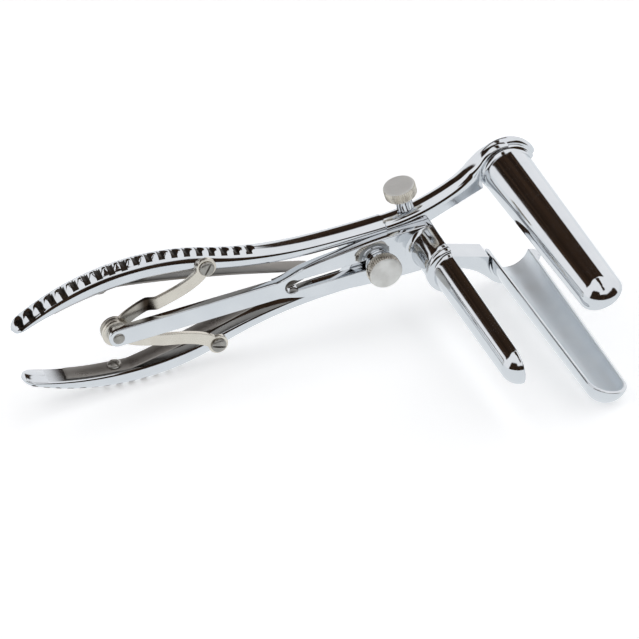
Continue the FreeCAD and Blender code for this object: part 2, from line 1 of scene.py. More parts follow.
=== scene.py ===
import cmath
import math
import bmesh
import bpy
from mathutils import Matrix, Vector


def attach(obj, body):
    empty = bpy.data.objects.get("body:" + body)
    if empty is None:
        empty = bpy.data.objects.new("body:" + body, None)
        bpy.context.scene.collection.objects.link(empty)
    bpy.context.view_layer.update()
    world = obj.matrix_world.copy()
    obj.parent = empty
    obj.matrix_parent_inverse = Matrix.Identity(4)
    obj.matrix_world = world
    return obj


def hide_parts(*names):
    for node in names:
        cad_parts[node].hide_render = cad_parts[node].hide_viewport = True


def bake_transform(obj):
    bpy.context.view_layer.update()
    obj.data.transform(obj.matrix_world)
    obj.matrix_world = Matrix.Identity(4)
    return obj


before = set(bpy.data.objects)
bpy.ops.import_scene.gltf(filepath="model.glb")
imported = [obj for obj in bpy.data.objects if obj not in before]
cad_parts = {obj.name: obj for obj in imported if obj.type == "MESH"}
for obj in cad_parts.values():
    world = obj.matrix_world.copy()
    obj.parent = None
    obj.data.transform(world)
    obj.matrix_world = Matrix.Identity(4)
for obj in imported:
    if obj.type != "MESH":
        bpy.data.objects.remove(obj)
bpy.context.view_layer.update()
mm = 0.001


def linearColour(text):
    parts = [int(text[i:i + 2], 16) / 255 for i in (1, 3, 5)]
    return [p / 12.92 if p <= 0.04045 else ((p + 0.055) / 1.055) ** 2.4 for p in parts] + [1.0]


def addNode(tree, kind, settings=None, inputs=None):
    node = tree.nodes.new(kind)
    for name, value in (settings or {}).items():
        setattr(node, name, value)
    for name, value in (inputs or {}).items():
        if isinstance(value, bpy.types.NodeSocket):
            tree.links.new(value, node.inputs[name])
        else:
            node.inputs[name].default_value = value
    return node


def emptyTree(owner):
    owner.use_nodes = True
    owner.node_tree.nodes.clear()
    return owner.node_tree


def addObject(name, data):
    added = bpy.data.objects.new(name, data)
    bpy.context.scene.collection.objects.link(added)
    return added


# camera: where it stood, worked out from the places of the pivots and the blades in the photo
cameraView = {
    "azimuth": -15.079, "elevation": 37.249, "roll": -7.457, "distance": 1044.0 * mm,
    "aim": (-24.45 * mm, -9.5 * mm, -21.52 * mm),
    "focalPixels": 2766.6, "photoPixels": 639, "sensor": 36.0, "clipEnd": 20,
}


def placeCamera(view):
    azimuth, elevation, roll = (math.radians(view[k]) for k in ("azimuth", "elevation", "roll"))
    level = math.cos(elevation)
    away = Vector((math.sin(azimuth) * level, -math.cos(azimuth) * level, math.sin(elevation)))
    right = Vector((0, 0, 1)).cross(away).normalized()
    up = away.cross(right)
    side = right * math.cos(roll) + up * math.sin(roll)
    top = up * math.cos(roll) - right * math.sin(roll)
    data = bpy.data.cameras.new("studioCamera")
    data.sensor_width = view["sensor"]
    data.lens = view["focalPixels"] * view["sensor"] / view["photoPixels"]
    data.clip_end = view["clipEnd"]
    camera = addObject("studioCamera", data)
    turn = Matrix((side, top, away)).transposed().to_4x4()
    camera.matrix_world = Matrix.Translation(Vector(view["aim"]) + away * view["distance"]) @ turn
    bpy.context.scene.camera = camera


placeCamera(cameraView)
print("camera placed")

# where a noise has most of its values, and its upper part that makes scratches
noiseMiddle = {"From Min": 0.35, "From Max": 0.65}
noiseUpper = {"From Min": 0.45, "From Max": 0.75}


# how much painted shade shows where the strap bends back: it sets in along X and thins out further on
def paintedShadeCover(tree, place, paintedShading):
    split = addNode(tree, "ShaderNodeSeparateXYZ", inputs={"Vector": place})
    paintedShade = addNode(tree, "ShaderNodeMapRange", {"interpolation_type": "SMOOTHSTEP"}, {
        "Value": split.outputs[0], "From Min": paintedShading["full"] * mm, "From Max": paintedShading["start"] * mm,
        "To Min": 1.0, "To Max": 0.0})
    shadeThinning = addNode(tree, "ShaderNodeMapRange", {"interpolation_type": "SMOOTHSTEP"}, {
        "Value": split.outputs[0], "From Min": paintedShading["shadeThinFull"] * mm, "From Max": paintedShading["shadeThinStart"] * mm,
        "To Min": paintedShading["shadeThinLevel"], "To Max": 1.0})
    both = addNode(tree, "ShaderNodeMath", {"operation": "MULTIPLY"}, {
        0: paintedShade.outputs[0], 1: shadeThinning.outputs[0]})
    return both.outputs[0]


# a metal with its own mottle, fine scratches along the piece and a soft waviness; sizes in millimetres
def metalMaterial(look):
    material = bpy.data.materials.new(look["name"])
    tree = emptyTree(material)
    place = addNode(tree, "ShaderNodeTexCoord").outputs["Object"]
    cloud = addNode(tree, "ShaderNodeTexNoise", inputs={
        "Vector": place, "Scale": 1 / (look["mottleSize"] * mm), "Detail": 4.0})
    spread = addNode(tree, "ShaderNodeMapRange", inputs={
        "Value": cloud.outputs[0], **noiseMiddle,
        "To Min": look["roughness"] * (1 - look["mottle"]),
        "To Max": look["roughness"] * (1 + look["mottle"])})
    stretched = addNode(tree, "ShaderNodeMapping", inputs={"Vector": place, "Scale": look["grain"]})
    lines = addNode(tree, "ShaderNodeTexNoise", inputs={
        "Vector": stretched.outputs[0], "Scale": 1 / (look["lineSize"] * mm), "Detail": 3.0,
        "Roughness": 0.7})
    scratch = addNode(tree, "ShaderNodeMapRange", inputs={
        "Value": lines.outputs[0], **noiseUpper, "To Min": 0.0, "To Max": look["scratch"]})
    rough = addNode(tree, "ShaderNodeMath", {"operation": "ADD"}, {
        0: spread.outputs[0], 1: scratch.outputs[0]})
    tint = addNode(tree, "ShaderNodeMix", {"data_type": "RGBA"}, {
        0: cloud.outputs[0], 6: linearColour(look["colour"]), 7: linearColour(look["shade"])})
    # painted shade laid over the tint where a look asks for it
    if "paintedShading" in look:
        cover = paintedShadeCover(tree, place, look["paintedShading"])
        tint = addNode(tree, "ShaderNodeMix", {"data_type": "RGBA"}, {
            0: cover, 6: tint.outputs[2], 7: linearColour(look["paintedShading"]["paintedShade"])})
    wave = addNode(tree, "ShaderNodeTexNoise", inputs={
        "Vector": place, "Scale": 1 / (look["waveSize"] * mm), "Detail": 1.0})
    swell = addNode(tree, "ShaderNodeBump", inputs={
        "Height": wave.outputs[0], "Distance": look["waveDepth"] * mm, "Strength": 1.0})
    fine = addNode(tree, "ShaderNodeBump", inputs={
        "Height": lines.outputs[0], "Distance": look["lineDepth"] * mm, "Strength": 1.0,
        "Normal": swell.outputs[0]})
    shader = addNode(tree, "ShaderNodeBsdfPrincipled", inputs={
        "Base Color": tint.outputs[2], "Metallic": 1.0, "Roughness": rough.outputs[0],
        "Normal": fine.outputs[0]})
    addNode(tree, "ShaderNodeOutputMaterial", inputs={"Surface": shader.outputs[0]})
    material["slot"] = look["slot"]
    return material


# bright mirror of the forgings and blades, with the slight waviness of hand polishing
chrome = metalMaterial({
    "name": "chromePlatedSteelPolished", "slot": "polished_chrome", "colour": "#E4E6E8", "shade": "#D2D5D9",
    "roughness": 0.07, "mottle": 0.35, "mottleSize": 14, "grain": (0.25, 1.0, 1.0), "lineSize": 0.5,
    "lineDepth": 0.0004, "scratch": 0.05, "waveSize": 9, "waveDepth": 0.012})
# warmer, duller plating of the links and of the ridges round the thumb screws
nickelLook = {
    "name": "nickelPlatedBrassSatin", "slot": "satin_nickel", "colour": "#E2DCD1", "shade": "#D8D1C5",
    "roughness": 0.27, "mottle": 0.2, "mottleSize": 5, "grain": (0.3, 1.0, 1.0), "lineSize": 0.3,
    "lineDepth": 0.0003, "scratch": 0.05, "waveSize": 6, "waveDepth": 0.004}
nickel = metalMaterial(nickelLook)
# the same strap where it bends behind the bar, with painted brown shade in the bend that thins out further on
paintedBendShade = {"start": -84.0, "full": -88.0, "shadeThinStart": -89.0, "shadeThinFull": -93.0, "shadeThinLevel": 0.45,
               "paintedShade": "#3E352C"}
nickelWithPaintedShade = metalMaterial(dict(
    nickelLook, name="nickelPlatedBrassPaintedShade", roughness=0.24, paintedShading=paintedBendShade))
# dark grey of a hardened leaf, rubbed along its length
springSteel = metalMaterial({
    "name": "springSteelTempered", "slot": "spring_steel", "colour": "#A09B96", "shade": "#88847F",
    "roughness": 0.3, "mottle": 0.12, "mottleSize": 9, "grain": (0.08, 1.0, 1.0), "lineSize": 0.3,
    "lineDepth": 0.0007, "scratch": 0.1, "waveSize": 10, "waveDepth": 0.004})
# greyer and more uneven than the nickel, as small turned screws come out of a plating barrel
screwSteel = metalMaterial({
    "name": "zincPlatedScrewSteel", "slot": "plated_fastener", "colour": "#B4B1AB", "shade": "#908D88",
    "roughness": 0.3, "mottle": 0.3, "mottleSize": 2.5, "grain": (1.0, 1.0, 1.0), "lineSize": 0.2,
    "lineDepth": 0.003, "scratch": 0.12, "waveSize": 3, "waveDepth": 0.006})
# the faces of the thumb screws: bead-blasted before plating, so they scatter
knobNickel = metalMaterial({
    "name": "nickelPlatedBrassBlasted", "slot": "satin_nickel", "colour": "#ECEBE8", "shade": "#E0DEDA",
    "roughness": 0.58, "mottle": 0.15, "mottleSize": 4, "grain": (1.0, 1.0, 1.0), "lineSize": 0.2,
    "lineDepth": 0.0008, "scratch": 0.08, "waveSize": 5, "waveDepth": 0.003})
# the hollow side of the blades is only brushed, so it glows grey-blue and shows no picture
satinChrome = metalMaterial({
    "name": "chromePlatedSteelBrushed", "slot": "polished_chrome", "colour": "#EDF1F4", "shade": "#DFE5EA",
    "roughness": 0.5, "mottle": 0.12, "mottleSize": 12, "grain": (1.0, 0.12, 1.0), "lineSize": 0.3,
    "lineDepth": 0.0012, "scratch": 0.08, "waveSize": 12, "waveDepth": 0.006})
# dark brown painted on the slopes of the filed notches
toothSteel = metalMaterial({
    "name": "toothSteelDarkBrown", "slot": "polished_chrome", "colour": "#3A322B", "shade": "#241F1B",
    "roughness": 0.3, "mottle": 0.3, "mottleSize": 3, "grain": (1.0, 1.0, 1.0), "lineSize": 0.25,
    "lineDepth": 0.001, "scratch": 0.12, "waveSize": 4, "waveDepth": 0.004})
print("materials made")

# mesh helpers: everything is drawn in millimetres and scaled once
meshRules = {"weld": 0.004, "sliver": 0.002, "sharpAngle": 38, "bevelSteps": 3}


# a mesh in the given unit, its doubled points welded and its faces turned outwards
def weldedMesh(name, verts, faces, unit, sliver=0.0):
    mesh = bpy.data.meshes.new(name)
    mesh.from_pydata([Vector(v) * unit for v in verts], [], faces)
    shell = bmesh.new()
    shell.from_mesh(mesh)
    bmesh.ops.remove_doubles(shell, verts=shell.verts, dist=meshRules["weld"] * unit)
    if sliver:
        bmesh.ops.dissolve_degenerate(shell, edges=shell.edges, dist=sliver * unit)
    bmesh.ops.recalc_face_normals(shell, faces=shell.faces)
    shell.to_mesh(mesh)
    shell.free()
    return mesh


# paint is a list of other materials, each with a test on a face's centre in millimetres
def makePiece(name, verts, faces, material, body, replaced=(), paint=()):
    mesh = weldedMesh(name, verts, faces, mm, meshRules["sliver"])
    mesh.shade_smooth()
    mesh.set_sharp_from_angle(angle=math.radians(meshRules["sharpAngle"]))
    piece = addObject(name, mesh)
    mesh.materials.append(material)
    for number, (finish, covers) in enumerate(paint, start=1):
        mesh.materials.append(finish)
        for polygon in mesh.polygons:
            if covers(polygon.center / mm):
                polygon.material_index = number
    if body:
        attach(piece, body)
    if replaced:
        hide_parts(*replaced)
    return piece


# quads over rows of points, each row a closed ring, with the first and last rows filled
def gridFaces(rows, columns):
    faces = []
    for i in range(rows - 1):
        low, high = i * columns, (i + 1) * columns
        for j in range(columns):
            k = (j + 1) % columns
            faces.append((low + j, low + k, high + k, high + j))
    faces.append(tuple(range(columns)))
    faces.append(tuple(range((rows - 1) * columns, rows * columns)))
    return faces


def smoothStep(value, low, high):
    share = min(1, max(0, (value - low) / (high - low)))
    return share * share * (3 - 2 * share)


# height at a share u of a span, on a cubic between two heights and their slopes
def cubicHeight(u, run, first, firstSlope, last, lastSlope):
    return ((2 * u ** 3 - 3 * u ** 2 + 1) * first + (u ** 3 - 2 * u ** 2 + u) * run * firstSlope
            + (3 * u ** 2 - 2 * u ** 3) * last + (u ** 3 - u ** 2) * run * lastSlope)


def circle(x, z, radius, count, start=0.0, sweep=360.0):
    steps = count if sweep >= 360 else count + 1
    angles = [math.radians(start + sweep * i / count) for i in range(steps)]
    return [(x + radius * math.cos(a), z + radius * math.sin(a)) for a in angles]


def merge(*parts):
    verts, faces = [], []
    for v, f in parts:
        faces += [tuple(i + len(verts) for i in face) for face in f]
        verts += v
    return verts, faces


def mirrorUp(verts):
    return [(x, y, -z) for x, y, z in verts]


# a plate between two depths with rounded edges; the first outline is its border, the others are holes
def flatPlate(outlines, back, front, edge):
    curve = bpy.data.curves.new("plateOutline", "CURVE")
    curve.dimensions = "2D"
    curve.fill_mode = "BOTH"
    for outline in outlines:
        spline = curve.splines.new("POLY")
        spline.points.add(len(outline) - 1)
        for point, (x, z) in zip(spline.points, outline):
            point.co = (x, z, 0, 1)
        spline.use_cyclic_u = True
    curve.offset = -edge
    curve.bevel_depth = edge
    curve.bevel_resolution = meshRules["bevelSteps"]
    curve.extrude = (back - front) / 2 - edge
    holder = bpy.data.objects.new("plateOutline", curve)
    mesh = bpy.data.meshes.new_from_object(holder)
    verts = [(v.co.x, (back + front) / 2 - v.co.z, v.co.y) for v in mesh.vertices]
    faces = [tuple(p.vertices) for p in mesh.polygons]
    bpy.data.objects.remove(holder)
    bpy.data.curves.remove(curve)
    bpy.data.meshes.remove(mesh)
    return verts, faces


def boxMesh(low, high):
    verts = [(x, y, z) for x in (low[0], high[0]) for y in (low[1], high[1]) for z in (low[2], high[2])]
    return verts, [(0, 1, 3, 2), (4, 6, 7, 5), (0, 4, 5, 1), (2, 3, 7, 6), (0, 2, 6, 4), (1, 5, 7, 3)]


# cuts one body out of another and hands back the points and faces
def carve(body, tool):
    holder, cutter = (addObject("cutting", weldedMesh("cutting", *shape, 1)) for shape in (body, tool))
    change = holder.modifiers.new("cut", "BOOLEAN")
    change.operation = "DIFFERENCE"
    change.solver = "EXACT"
    change.object = cutter
    mesh = bpy.data.meshes.new_from_object(holder.evaluated_get(bpy.context.evaluated_depsgraph_get()))
    verts = [tuple(v.co) for v in mesh.vertices]
    faces = [tuple(p.vertices) for p in mesh.polygons]
    bpy.data.objects.remove(holder)
    bpy.data.objects.remove(cutter)
    return verts, faces


# adds an edge loop at each x, so that a plate can be bent there
def sliceMesh(verts, faces, places):
    shell = bmesh.new()
    points = [shell.verts.new(v) for v in verts]
    for face in faces:
        shell.faces.new([points[i] for i in face])
    bmesh.ops.remove_doubles(shell, verts=shell.verts, dist=meshRules["weld"])
    for x in places:
        everything = list(shell.verts) + list(shell.edges) + list(shell.faces)
        bmesh.ops.bisect_plane(shell, geom=everything, plane_co=(x, 0, 0), plane_no=(1, 0, 0))
    shell.verts.index_update()
    result = [tuple(v.co) for v in shell.verts], [tuple(v.index for v in f.verts) for f in shell.faces]
    shell.free()
    return result


# turns a profile of radius and height about Z; a hollow one closes on itself
def lathe(profile, columns, hollow=False):
    angles = [2 * math.pi * i / columns for i in range(columns)]
    verts = [(radius * math.cos(a), radius * math.sin(a), z) for radius, z in profile for a in angles]
    faces = gridFaces(len(profile), columns)
    return verts, faces[:-2] if hollow else faces


# stands a turned piece, drawn up Z, at origin with its axis along the given direction
def standOn(verts, origin, along):
    turn = Vector((0, 0, 1)).rotation_difference(Vector(along).normalized())
    return [tuple(Vector(origin) + turn @ Vector(v)) for v in verts]


# lays a turned piece along Y, on the middle plane; way -1 lets it grow towards the front
def layAt(verts, reach, seat, way=1):
    return [(reach + x, seat + way * z, y) for x, y, z in verts]


# one side of a wall from its ridge down and round the rim, as reach and height
def wallSide(radius, rim, count, way):
    rimSteps = 5
    start = math.asin(rim / radius)
    side = []
    for i in range(count + 1):
        angle = math.pi / 2 + (start - math.pi / 2) * i / count
        side.append((radius * math.cos(angle), radius * math.sin(angle)))
    for k in reversed(range(rimSteps)):
        turn = math.pi / 2 * k / rimSteps
        height = rim * (1 - math.cos(turn))
        side.append((math.sqrt(radius ** 2 - height ** 2) + way * rim * (1 - math.sin(turn)), height))
    return side


# half a ring's section from the outer ridge round the rim to the inner ridge
def wallSection(outer, inner, rim, count):
    return wallSide(outer, rim, count, -1) + wallSide(inner, rim, count, 1)[::-1]


# half a tapered tube with a round closed nose and rounded rims, as across, up and along
def troughMesh(form):
    tubeSteps, noseSteps, arcSteps = 40, 32, 22
    stations = list(form["stations"])
    first, firstRadius = stations[-1][:2]
    for i in range(1, tubeSteps + 1):
        share = i / tubeSteps
        radius = firstRadius * (1 - share) + form["tipRadius"] * share
        stations.append((first + (form["end"] - first) * share, radius, radius - form["wall"]))
    side = []
    for y, outer, inner in stations:
        section = wallSection(outer, inner, form["rim"], arcSteps)
        side.append([(reach, height, y) for reach, height in section])
    nose = []
    for i in range(1, noseSteps):
        angle = math.pi * i / noseSteps
        nose.append([(reach * math.cos(angle), height, form["end"] - reach * math.sin(angle))
                     for reach, height, y in side[-1]])
    otherSide = [[(-reach, height, y) for reach, height, y in column] for column in reversed(side)]
    columns = side + nose + otherSide
    rows = len(side[0])
    faces = []
    for i in range(len(columns) - 1):
        for j in range(rows - 1):
            faces.append((i * rows + j, i * rows + j + 1, (i + 1) * rows + j + 1, (i + 1) * rows + j))
    last = (len(columns) - 1) * rows
    faces.append(tuple(range(rows)) + tuple(last + j for j in reversed(range(rows))))
    return [point for column in columns for point in column], faces


# half a tube open at both ends, with a flare that is fullest at its ridge
def archMesh(stations, inner, rim):
    arcSteps = 26
    rings = []
    for y, outer, flare in stations:
        half = []
        for reach, height in wallSection(outer, inner, rim, arcSteps):
            size = math.hypot(reach, height)
            grown = 1 + (flare * (height / outer) ** 2 / size if size > (outer + inner) / 2 else 0)
            half.append((reach * grown, height * grown, y))
        rings.append(half + [(-reach, height, y) for reach, height, y in reversed(half)])
    return [point for ring in rings for point in ring], gridFaces(len(rings), len(rings[0]))


# levers: one forging swept along tangent arcs, used once as it is and once turned over
lever = {
    "thick": 9.5, "step": 0.4, "clearance": 0.1, "closing": 19.5,
    "outer": [(-139.5, 12.4), (-121.0, 21.8), (-97.0, 26.7), (-62.0, 21.5), (-22.0, 13.2), (6.0, 12.7),
              (34.0, 19.3)],
    "depths": [2.4, 5.6, 7.3, 6.5, 4.2], "tailLead": 6, "crotchReach": 6.0, "crotchRise": 8.8, "armShort": 8,
    "leastDepth": 0.2, "mostDepth": 60.0,
    # section: the share of the depth that is crowned, and how full and how tucked in it is
    "crownShare": 0.78, "crownMost": 5.4, "crownSteps": 22, "sideSteps": 5, "handlePower": 1.95,
    "armPower": 2.95, "handleTuck": 0.13, "armTuck": 0.02, "armBlend": (-70, -10),
    "tailRound": 4.6, "tailFlat": 0.35, "tailLeast": 0.02,
    # hood over the blade's root
    "bladeReach": 58.9, "root": 125.0, "hoodRadius": 13.2, "hoodWidth": 2.4, "hoodLeast": 1.2,
    "hoodDegrees": 59, "hoodTaper": 0.9, "hoodBack": 3.5, "hoodBlend": (40, 50),
    # teeth: deepest at the tail; the lower handle's are worn
    "toothPitch": 4.85, "toothWidth": 3.9, "toothDepth": 1.6, "wornDepth": 0.7, "toothCount": 20,
    "toothFirst": 1.05, "toothFade": 0.55,
    # half-lapped ear and its web
    "earRadius": 8.5, "boreRadius": 2.05, "earWeb": [(-17.6, 11.1), (6.0, 10.6), (12.0, 5.2)], "earFace": 0.3,
    "earLap": 0.05, "earEdge": 0.25, "earSteps": 60, "boreSteps": 40,
}
closing = math.radians(lever["closing"])


# points every step or so along tangent arcs through the given points, each with its heading
def arcChain(points, step):
    first, second, third = (cmath.phase(b - a) for a, b in
                            ((points[0], points[1]), (points[1], points[2]), (points[0], points[2])))
    heading = first - second + third
    line = []
    for start, end in [(points[0], points[2])] + list(zip(points[2:], points[3:])):
        chord = end - start
        half = cmath.phase(chord / cmath.rect(1, heading))
        count = max(2, round(abs(chord) / step))
        for i in range(count):
            share = i / count
            reach = abs(chord) * (math.sin(share * half) / math.sin(half) if abs(half) > 1e-6 else share)
            line.append((start + cmath.rect(reach, heading + share * half), heading + 2 * share * half))
        heading += 2 * half
    line.append((points[-1], heading))
    return line


# a point along and beside the upper blade's axis, as it lies with the blades spread
def bladeAxis(reach, rise):
    return complex(reach, rise) * cmath.rect(1, closing)


hoodCentre = bladeAxis(lever["bladeReach"], 0)


# how far it is from the outer edge, square to it, to the inner edge or to the inside of the hood
def depthBelow(form, point, heading, line):
    inward = cmath.rect(1, heading - math.pi / 2)
    best = form["mostDepth"]
    for a, b in zip(line, line[1:]):
        p, q = (a - point) / inward, (b - point) / inward
        if p.imag * q.imag <= 0 and p.imag != q.imag:
            depth = p.real + (q.real - p.real) * p.imag / (p.imag - q.imag)
            if depth > form["leastDepth"]:
                best = min(best, depth)
    away = (hoodCentre - point) / inward
    ring = form["hoodRadius"] - form["hoodWidth"]
    if abs(away.imag) < ring:
        best = min(best, max(form["hoodLeast"], away.real - math.sqrt(ring ** 2 - away.imag ** 2)))
    return best


# the rail's outer path with its headings, and the line that bounds it from below
def leverChains(form):
    outer = [complex(x, z) for x, z in form["outer"]]
    root = cmath.rect(form["hoodRadius"], math.radians(form["root"]))
    path = arcChain(outer + [bladeAxis(form["bladeReach"] + root.real, root.imag)], form["step"])
    inner = []
    for corner, depth in zip(outer, form["depths"]):
        point, heading = min(path, key=lambda item: abs(item[0] - corner))
        inner.append(point + cmath.rect(depth, heading - math.pi / 2))
    crotch = form["crotchReach"]
    line = [p for p, heading in arcChain(inner + [complex(crotch, form["crotchRise"])], form["step"])]
    line = [line[0] + (line[0] - line[1]) * form["tailLead"]] + line
    line.append(complex(crotch, crotch * math.tan(closing) + form["clearance"]))
    line.append(bladeAxis(form["bladeReach"] - form["armShort"], form["clearance"]))
    start = cmath.phase(path[-1][0] - hoodCentre)
    for i in range(1, form["hoodDegrees"] + 1):
        angle = start - math.radians(i)
        radius = form["hoodRadius"] - form["hoodTaper"] * (i / form["hoodDegrees"]) ** 2
        path.append((hoodCentre + cmath.rect(radius, angle), angle - math.pi / 2))
    return path, line


def notchDepth(form, travelled):
    pitch = form["toothPitch"]
    offset = (travelled + pitch / 2) % pitch - pitch / 2
    number = round((travelled - offset) / pitch)
    if not 1 <= number <= form["toothCount"]:
        return 0.0
    share = max(0, 1 - abs(offset) * 2 / form["toothWidth"])
    return form["toothDepth"] * share * (form["toothFirst"] - form["toothFade"] * number / form["toothCount"])


# the rail's section as across and up: one side, the crown with its notch, the other side
def railSection(form, depth, notch, inArm):
    half = form["thick"] / 2
    power = form["handlePower"] * (1 - inArm) + form["armPower"] * inArm
    tuck = form["handleTuck"] * (1 - inArm) + form["armTuck"] * inArm
    rise = min(form["crownShare"] * depth, form["crownMost"])
    base = depth - rise
    side = []
    for i in range(form["sideSteps"]):
        share = i / form["sideSteps"]
        side.append((half * (1 - tuck * (1 - share) ** 2), base * share))
    crown = []
    for i in range(form["crownSteps"] + 1):
        turn = math.pi * i / form["crownSteps"]
        c, s = math.cos(turn), math.sin(turn)
        up = base + rise * abs(s) ** (2 / power)
        crown.append((math.copysign(half * abs(c) ** (2 / power), c), min(up, depth - notch)))
    return side + crown + [(-across, up) for across, up in reversed(side)]


def railMesh(form, path, line):
    half = form["thick"] / 2
    flat = form["tailFlat"]
    verts = []
    travelled = 0.0
    previous = path[0][0]
    for point, heading in path:
        travelled += abs(point - previous)
        previous = point
        depth = depthBelow(form, point, heading, line)
        inArm = smoothStep(point.real, *form["armBlend"])
        section = railSection(form, depth, notchDepth(form, travelled), inArm)
        swell = math.sqrt(max(form["tailLeast"], 1 - max(0, 1 - travelled / form["tailRound"]) ** 2))
        narrow = smoothStep(point.real, *form["hoodBlend"]) * form["hoodBack"] / 2
        out = cmath.rect(1, heading + math.pi / 2)
        foot = point - out * depth
        for across, up in section:
            spot = foot + out * up * (flat + (1 - flat) * swell)
            verts.append((spot.real, -half - narrow + across * swell * (1 - narrow / half), spot.imag))
    return verts, gridFaces(len(path), len(section))


def earPlate(form):
    face = bladeAxis(form["earRadius"], form["earFace"])
    start = math.degrees(cmath.phase(face))
    border = form["earWeb"] + [(face.real, face.imag)]
    border += circle(0, 0, form["earRadius"], form["earSteps"], start, -(180 + start))[1:]
    bore = circle(0, 0, form["boreRadius"], form["boreSteps"])
    return flatPlate([border, bore], 0.0, -form["thick"] / 2 + form["earLap"], form["earEdge"])


# dark slopes of the notches: half width, top and depth from the outer edge, and where they run
notchPaint = {"half": 1.2, "top": 0.3, "depth": 1.0, "tailExtra": 1.0, "tailBlend": (45, 125), "from": -30,
              "front": -3.4}


# the middle and the outward direction of each notch
def notchMiddles(form, path):
    middles = []
    travelled = 0.0
    for (a, heading), (b, _) in zip(path, path[1:]):
        step = abs(b - a)
        number = int((travelled + step) / form["toothPitch"])
        if number > int(travelled / form["toothPitch"]) and number <= form["toothCount"]:
            middles.append((a, cmath.rect(1, heading + math.pi / 2)))
        travelled += step
    return middles


def inNotch(x, y, z, middles):
    if x > notchPaint["from"] or z < 0:
        return False
    spot = complex(x, z)
    middle, out = min(middles, key=lambda item: abs(item[0] - spot))
    offset = (spot - middle) / out
    low = -notchPaint["depth"] - notchPaint["tailExtra"] * smoothStep(-x, *notchPaint["tailBlend"])
    return (abs(offset.imag) < notchPaint["half"] and low < offset.real < -notchPaint["top"]
            and y < notchPaint["front"])


leverPath, innerLine = leverChains(lever)
railVerts, railFaces = railMesh(lever, leverPath, innerLine)
wornVerts = railMesh(dict(lever, toothDepth=lever["wornDepth"]), leverPath, innerLine)[0]
earVerts, earFaces = earPlate(lever)
turnedEar = [(x, -lever["thick"] - y, -z) for x, y, z in earVerts]
notches = notchMiddles(lever, leverPath)
makePiece("upperLeverForging", *merge((railVerts, railFaces), (earVerts, earFaces)), chrome, "upper_lever",
          ["upper_lever"], [(toothSteel, lambda c: inNotch(c.x, c.y, c.z, notches))])
makePiece("lowerLeverForging", *merge((mirrorUp(wornVerts), railFaces), (turnedEar, earFaces)), chrome,
          "lower_lever", ["lower_lever"], [(toothSteel, lambda c: inNotch(c.x, c.y, -c.z, notches))])
print("levers made")

# leaf springs: seated on the inner edge behind, then free to the hinge
leaf = {
    "width": 6.6, "thick": 0.9, "corner": 0.28, "endShare": 0.9, "seats": 5, "tail": 124.0,
    "seatLength": 27.0, "seatRise": 19.4, "tip": 25.0, "tipRise": 0.45, "gap": 0.1, "sag": 0.55,
    "spanSteps": 12, "bendFrom": -25, "bendTo": -97,
}


def innerEdgeAt(reach, rise):
    return min(innerLine, key=lambda p: abs(p - complex(-reach, rise)))


def leafPath(form):
    marks = []
    for i in range(form["seats"]):
        reach = form["tail"] - form["seatLength"] * i / (form["seats"] - 1)
        marks.append(innerEdgeAt(reach, form["seatRise"]) - 1j * (form["gap"] + form["thick"] / 2))
    middle = -(form["tail"] - form["seatLength"] + form["tip"]) / 2
    marks.append(complex(middle, (marks[-1].imag + form["tipRise"]) * form["sag"] + form["thick"] / 2))
    marks.append(complex(-form["tip"], form["tipRise"] + form["thick"] / 2))
    slopes = []
    for i in range(len(marks)):
        a, b = marks[max(0, i - 1)], marks[min(len(marks) - 1, i + 1)]
        slopes.append((b - a).imag / (b - a).real)
    path = []
    for (a, b), (slope, nextSlope) in zip(zip(marks, marks[1:]), zip(slopes, slopes[1:])):
        run = b.real - a.real
        for i in range(form["spanSteps"]):
            u = i / form["spanSteps"]
            path.append(complex(a.real + run * u, cubicHeight(u, run, a.imag, slope, b.imag, nextSlope)))
    return path + [marks[-1]]


def leafMesh(form, path):
    corner, cornerSteps = form["corner"], 4
    last = len(path) - 1
    verts = []
    for i, point in enumerate(path):
        heading = cmath.phase(path[min(i + 1, last)] - path[max(i - 1, 0)])
        out = cmath.rect(1, heading + math.pi / 2)
        wide = form["width"] / 2 * (form["endShare"] if i in (0, last) else 1) - corner
        high = form["thick"] / 2 - corner
        for sx, sy, turn in ((1, 1, 0), (-1, 1, 90), (-1, -1, 180), (1, -1, 270)):
            for k in range(cornerSteps):
                angle = math.radians(turn + 90 * k / (cornerSteps - 1))
                spot = point + out * (sy * high + corner * math.sin(angle))
                across = sx * wide + corner * math.cos(angle)
                verts.append((spot.real, -lever["thick"] / 2 + across, spot.imag))
    return verts, gridFaces(len(path), 4 * cornerSteps)


leafVerts, leafFaces = leafMesh(leaf, leafPath(leaf))
for name, verts in (("upper", leafVerts), ("lower", mirrorUp(leafVerts))):
    piece = makePiece(name + "LeafSpring", verts, leafFaces, springSteel, None, [name + "_spring"])
    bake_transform(piece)
print("springs made")

# screws: turned heads with a driver slot sawn across
springScrew = {
    "radius": 2.7, "height": 1.3, "crown": 0.45, "slotWidth": 0.8, "slotDepth": 0.7, "shank": 1.2,
    "angle": 62, "reach": 104.0, "lift": 0.15, "along": (0.05, 0, -1),
}
linkScrew = {
    "radius": 2.9, "height": 1.5, "crown": 0.8, "slotWidth": 0.8, "slotDepth": 0.75, "shank": 1.4,
    "upperAngle": 55, "lowerAngle": -20, "reach": 64.8, "rise": 17.8, "seat": -11.4,
}


